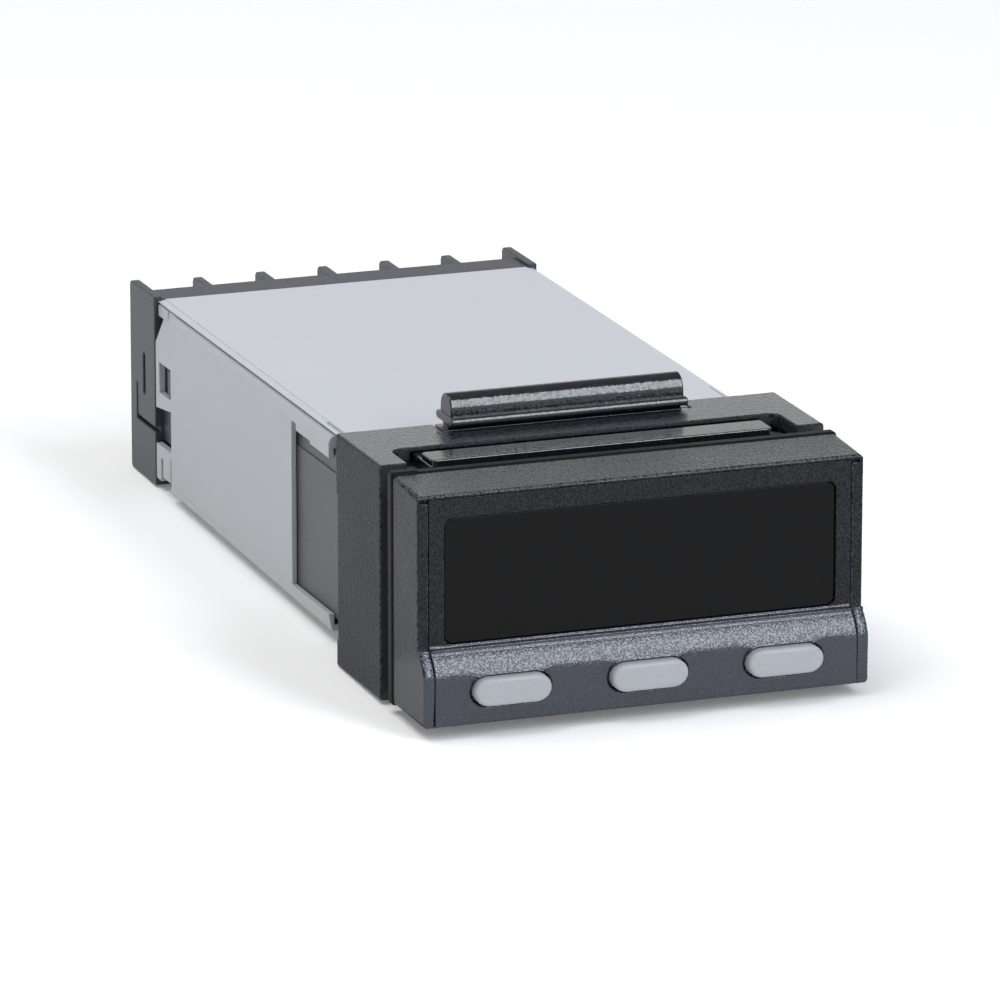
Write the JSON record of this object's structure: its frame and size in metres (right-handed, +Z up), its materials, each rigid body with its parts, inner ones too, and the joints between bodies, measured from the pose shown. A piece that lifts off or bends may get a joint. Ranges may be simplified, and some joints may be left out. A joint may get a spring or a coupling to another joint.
{
  "type": "temperature controller",
  "caption": "Slim panel-mount temperature controller with a smoked display window, pill keys, a slide-on mounting frame with a locking clip, and screw terminals at the rear.",
  "frame": {"origin": "middle of the panel opening, on the rear face of the bezel", "axes": "+X to the right seen from the front, +Y into the panel towards the terminals, +Z up"},
  "size_m": [0.0482, 0.1019, 0.0283],
  "materials": {
    "bezel_plastic": "spark-eroded texture",
    "fascia_plastic": "fine texture, satin",
    "smoked_lens": "polished",
    "key_plastic": "satin",
    "seal_rubber": "matt",
    "chassis_plastic": "satin",
    "case_plastic": "satin",
    "frame_plastic": "spark-eroded texture",
    "clip_plastic": "gloss",
    "terminal_plastic": "satin",
    "contact_brass": "stamped",
    "plated_steel": "nickel plated",
    "circuit_board": "solder mask",
    "component_plastic": "moulded",
    "relay_plastic": "moulded",
    "core_ferrite": "sintered"
  },
  "bodies": {
    "housing": {"front_bezel": "bezel_plastic", "front_fascia": "fascia_plastic", "display_window": "smoked_lens", "panel_seal": "seal_rubber", "inner_chassis": "chassis_plastic", "case_tub": "case_plastic", "top_cover": "case_plastic", "terminal_block": "terminal_plastic", "contact_strips": "contact_brass", "clamp_plates": "plated_steel", "terminal_screws": "plated_steel", "display_board": "circuit_board", "digit_display": "component_plastic", "key_switches": "component_plastic", "main_board": "circuit_board", "power_board": "circuit_board", "board_headers": "component_plastic", "transformer": "core_ferrite", "output_relay": "relay_plastic", "power_capacitor": "component_plastic", "controller_chip": "component_plastic"},
    "left_button": {"left_button": "key_plastic"},
    "middle_button": {"middle_button": "key_plastic"},
    "right_button": {"right_button": "key_plastic"},
    "mounting_frame": {"mounting_frame": "frame_plastic"},
    "locking_clip": {"locking_clip": "clip_plastic"}
  },
  "joints": [
    {"name": "left_press", "type": "slide", "parent": "housing", "child": "left_button", "axis": [0, 1, 0], "range_m": [0, 0.0005], "stiffness_N_per_m": 2000},
    {"name": "middle_press", "type": "slide", "parent": "housing", "child": "middle_button", "axis": [0, 1, 0], "range_m": [0, 0.0005], "stiffness_N_per_m": 2000},
    {"name": "right_press", "type": "slide", "parent": "housing", "child": "right_button", "axis": [0, 1, 0], "range_m": [0, 0.0005], "stiffness_N_per_m": 2000},
    {"name": "frame_slide", "type": "slide", "parent": "housing", "child": "mounting_frame", "axis": [0, 1, 0], "range_m": [-0.0013, 0.06]},
    {"name": "clip_slide", "type": "slide", "parent": "mounting_frame", "child": "locking_clip", "axis": [0, 1, 0], "range_m": [0, 0.0018]}
  ]
}
